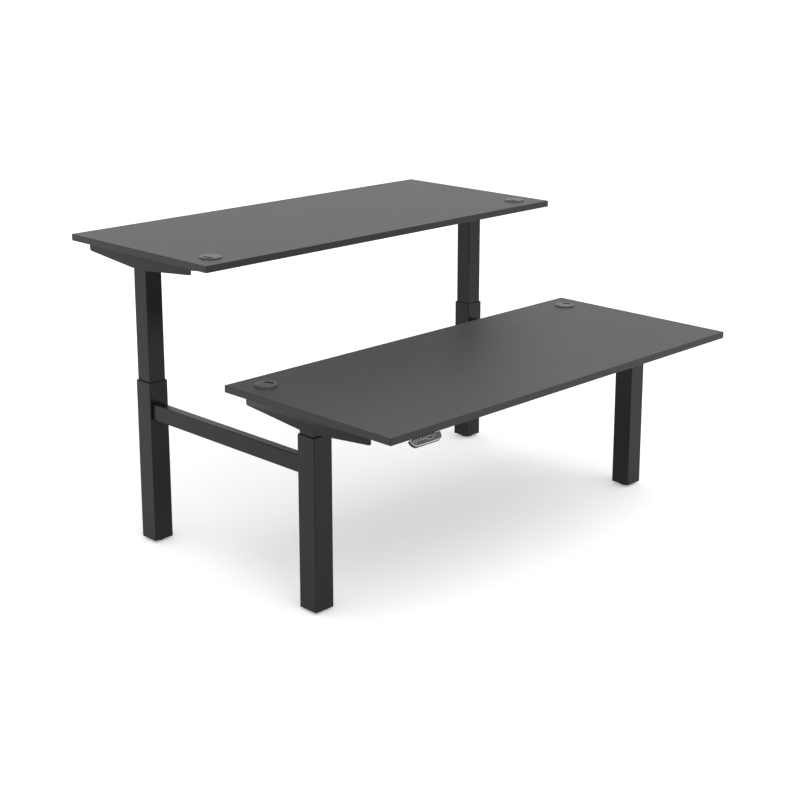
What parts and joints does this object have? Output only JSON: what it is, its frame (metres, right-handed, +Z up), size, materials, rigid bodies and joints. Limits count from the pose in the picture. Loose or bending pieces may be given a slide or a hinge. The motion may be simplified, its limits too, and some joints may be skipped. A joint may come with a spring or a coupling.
{
  "type": "back-to-back sit-stand desk",
  "caption": "Back-to-back electric sit-stand desks on telescopic columns joined by side beams, with cable ports, handsets, control boxes and levelling feet.",
  "frame": {"origin": "on the floor, at the middle of the footprint, halfway between the desks", "axes": "+X along the desktops' long edges; the front desk's user sits at -Y and the rear desk's user at +Y; +Z up"},
  "size_m": [1.8, 1.7208, 1.1098],
  "materials": {
    "powder_coat": "fine-textured black powder coat, matt",
    "desktop_laminate": "matt anthracite melamine on particle board",
    "edge_band": "matt black edge band, glued on",
    "port_plastic": "moulded dark grey plastic, satin",
    "case_plastic": "moulded black plastic, fine spark texture",
    "handset_plastic": "moulded dark grey plastic, satin",
    "key_plastic": null,
    "display": "smoked display window on a circuit board, gloss",
    "circuit_board": "green circuit board with soldered parts",
    "foot_plastic": "black glass-filled plastic pad on a threaded stem",
    "glide_plastic": "black acetal guides, smooth",
    "nut_plastic": "off-white acetal drive nut",
    "zinc_steel": "zinc-plated steel",
    "motor_metal": "cast and pressed motor housing"
  },
  "bodies": {
    "frame": {"outer_column_front_left": "powder_coat", "outer_column_front_right": "powder_coat", "outer_column_rear_left": "powder_coat", "outer_column_rear_right": "powder_coat", "side_beam_left": "powder_coat", "side_beam_right": "powder_coat", "beam_screws": "zinc_steel", "nut_pillars": "zinc_steel", "spindle_nuts": "nut_plastic", "guide_collars": "glide_plastic"},
    "desk_front": {"desktop_front": "desktop_laminate", "edge_band_front": "edge_band", "port_liners_front": "port_plastic", "arm_front_left": "powder_coat", "arm_front_right": "powder_coat", "cross_rails_front": "powder_coat", "inner_column_front_left": "powder_coat", "inner_column_front_right": "powder_coat", "lower_glides_front": "glide_plastic", "motor_units_front": "motor_metal", "control_box_front": "case_plastic", "control_board_front": "circuit_board", "handset_case_front": "handset_plastic", "handset_display_front": "display", "wood_screws_front": "zinc_steel", "frame_screws_front": "zinc_steel"},
    "port_lid_front_left": {"port_lid_front_left": "port_plastic"},
    "port_lid_front_right": {"port_lid_front_right": "port_plastic"},
    "spindle_front_left": {"spindle_front_left": "zinc_steel"},
    "spindle_front_right": {"spindle_front_right": "zinc_steel"},
    "key_up_front": {"key_up_front": "key_plastic"},
    "key_down_front": {"key_down_front": "key_plastic"},
    "key_memory_front": {"key_memory_front": "key_plastic"},
    "desk_rear": {"desktop_rear": "desktop_laminate", "edge_band_rear": "edge_band", "port_liners_rear": "port_plastic", "arm_rear_left": "powder_coat", "arm_rear_right": "powder_coat", "cross_rails_rear": "powder_coat", "inner_column_rear_left": "powder_coat", "inner_column_rear_right": "powder_coat", "lower_glides_rear": "glide_plastic", "motor_units_rear": "motor_metal", "control_box_rear": "case_plastic", "control_board_rear": "circuit_board", "handset_case_rear": "handset_plastic", "handset_display_rear": "display", "wood_screws_rear": "zinc_steel", "frame_screws_rear": "zinc_steel"},
    "port_lid_rear_left": {"port_lid_rear_left": "port_plastic"},
    "port_lid_rear_right": {"port_lid_rear_right": "port_plastic"},
    "spindle_rear_left": {"spindle_rear_left": "zinc_steel"},
    "spindle_rear_right": {"spindle_rear_right": "zinc_steel"},
    "key_up_rear": {"key_up_rear": "key_plastic"},
    "key_down_rear": {"key_down_rear": "key_plastic"},
    "key_memory_rear": {"key_memory_rear": "key_plastic"},
    "levelling_foot_front_left": {"levelling_foot_front_left": "foot_plastic"},
    "levelling_foot_front_right": {"levelling_foot_front_right": "foot_plastic"},
    "levelling_foot_rear_left": {"levelling_foot_rear_left": "foot_plastic"},
    "levelling_foot_rear_right": {"levelling_foot_rear_right": "foot_plastic"}
  },
  "joints": [
    {"name": "lift_front", "type": "slide", "parent": "frame", "child": "desk_front", "axis": [0, 0, 1], "range_m": [-0.01, 0.47]},
    {"name": "spindle_turn_front_left", "type": "hinge", "parent": "desk_front", "child": "spindle_front_left", "pos_m": [-0.851, -0.44, 0.4], "axis": [0, 0, 1], "range_deg": [-400, 17000]},
    {"name": "foot_travel_front_left", "type": "slide", "parent": "frame", "child": "levelling_foot_front_left", "axis": [0, 0, -1], "range_m": [0, 0.012]},
    {"name": "lid_turn_front_left", "type": "hinge", "parent": "desk_front", "child": "port_lid_front_left", "pos_m": [-0.8, -0.14, 0.707], "axis": [0, 0, 1], "continuous": true},
    {"name": "spindle_turn_front_right", "type": "hinge", "parent": "desk_front", "child": "spindle_front_right", "pos_m": [0.851, -0.44, 0.4], "axis": [0, 0, 1], "range_deg": [-400, 17000]},
    {"name": "foot_travel_front_right", "type": "slide", "parent": "frame", "child": "levelling_foot_front_right", "axis": [0, 0, -1], "range_m": [0, 0.012]},
    {"name": "lid_turn_front_right", "type": "hinge", "parent": "desk_front", "child": "port_lid_front_right", "pos_m": [0.8, -0.14, 0.707], "axis": [0, 0, 1], "continuous": true},
    {"name": "key_up_press_front", "type": "slide", "parent": "desk_front", "child": "key_up_front", "axis": [0, 0.682, -0.7314], "range_m": [0, 0.0008], "stiffness_N_per_m": 1500},
    {"name": "key_down_press_front", "type": "slide", "parent": "desk_front", "child": "key_down_front", "axis": [0, 0.682, -0.7314], "range_m": [0, 0.0008], "stiffness_N_per_m": 1500},
    {"name": "key_memory_press_front", "type": "slide", "parent": "desk_front", "child": "key_memory_front", "axis": [0, 0.682, -0.7314], "range_m": [0, 0.0008], "stiffness_N_per_m": 1500},
    {"name": "lift_rear", "type": "slide", "parent": "frame", "child": "desk_rear", "axis": [0, 0, 1], "range_m": [-0.41, 0.07]},
    {"name": "spindle_turn_rear_left", "type": "hinge", "parent": "desk_rear", "child": "spindle_rear_left", "pos_m": [-0.851, 0.44, 0.8], "axis": [0, 0, 1], "range_deg": [-14800, 2560]},
    {"name": "foot_travel_rear_left", "type": "slide", "parent": "frame", "child": "levelling_foot_rear_left", "axis": [0, 0, -1], "range_m": [0, 0.012]},
    {"name": "lid_turn_rear_left", "type": "hinge", "parent": "desk_rear", "child": "port_lid_rear_left", "pos_m": [-0.8, 0.14, 1.107], "axis": [0, 0, 1], "continuous": true},
    {"name": "spindle_turn_rear_right", "type": "hinge", "parent": "desk_rear", "child": "spindle_rear_right", "pos_m": [0.851, 0.44, 0.8], "axis": [0, 0, 1], "range_deg": [-14800, 2560]},
    {"name": "foot_travel_rear_right", "type": "slide", "parent": "frame", "child": "levelling_foot_rear_right", "axis": [0, 0, -1], "range_m": [0, 0.012]},
    {"name": "lid_turn_rear_right", "type": "hinge", "parent": "desk_rear", "child": "port_lid_rear_right", "pos_m": [0.8, 0.14, 1.107], "axis": [0, 0, 1], "continuous": true},
    {"name": "key_up_press_rear", "type": "slide", "parent": "desk_rear", "child": "key_up_rear", "axis": [0, -0.682, -0.7314], "range_m": [0, 0.0008], "stiffness_N_per_m": 1500},
    {"name": "key_down_press_rear", "type": "slide", "parent": "desk_rear", "child": "key_down_rear", "axis": [0, -0.682, -0.7314], "range_m": [0, 0.0008], "stiffness_N_per_m": 1500},
    {"name": "key_memory_press_rear", "type": "slide", "parent": "desk_rear", "child": "key_memory_rear", "axis": [0, -0.682, -0.7314], "range_m": [0, 0.0008], "stiffness_N_per_m": 1500}
  ],
  "couplings": [
    {"joint": "spindle_turn_front_left", "follows": "lift_front", "rad_per_m": 628.32},
    {"joint": "spindle_turn_front_right", "follows": "lift_front", "rad_per_m": 628.32},
    {"joint": "spindle_turn_rear_left", "follows": "lift_rear", "rad_per_m": 628.32},
    {"joint": "spindle_turn_rear_right", "follows": "lift_rear", "rad_per_m": 628.32}
  ]
}
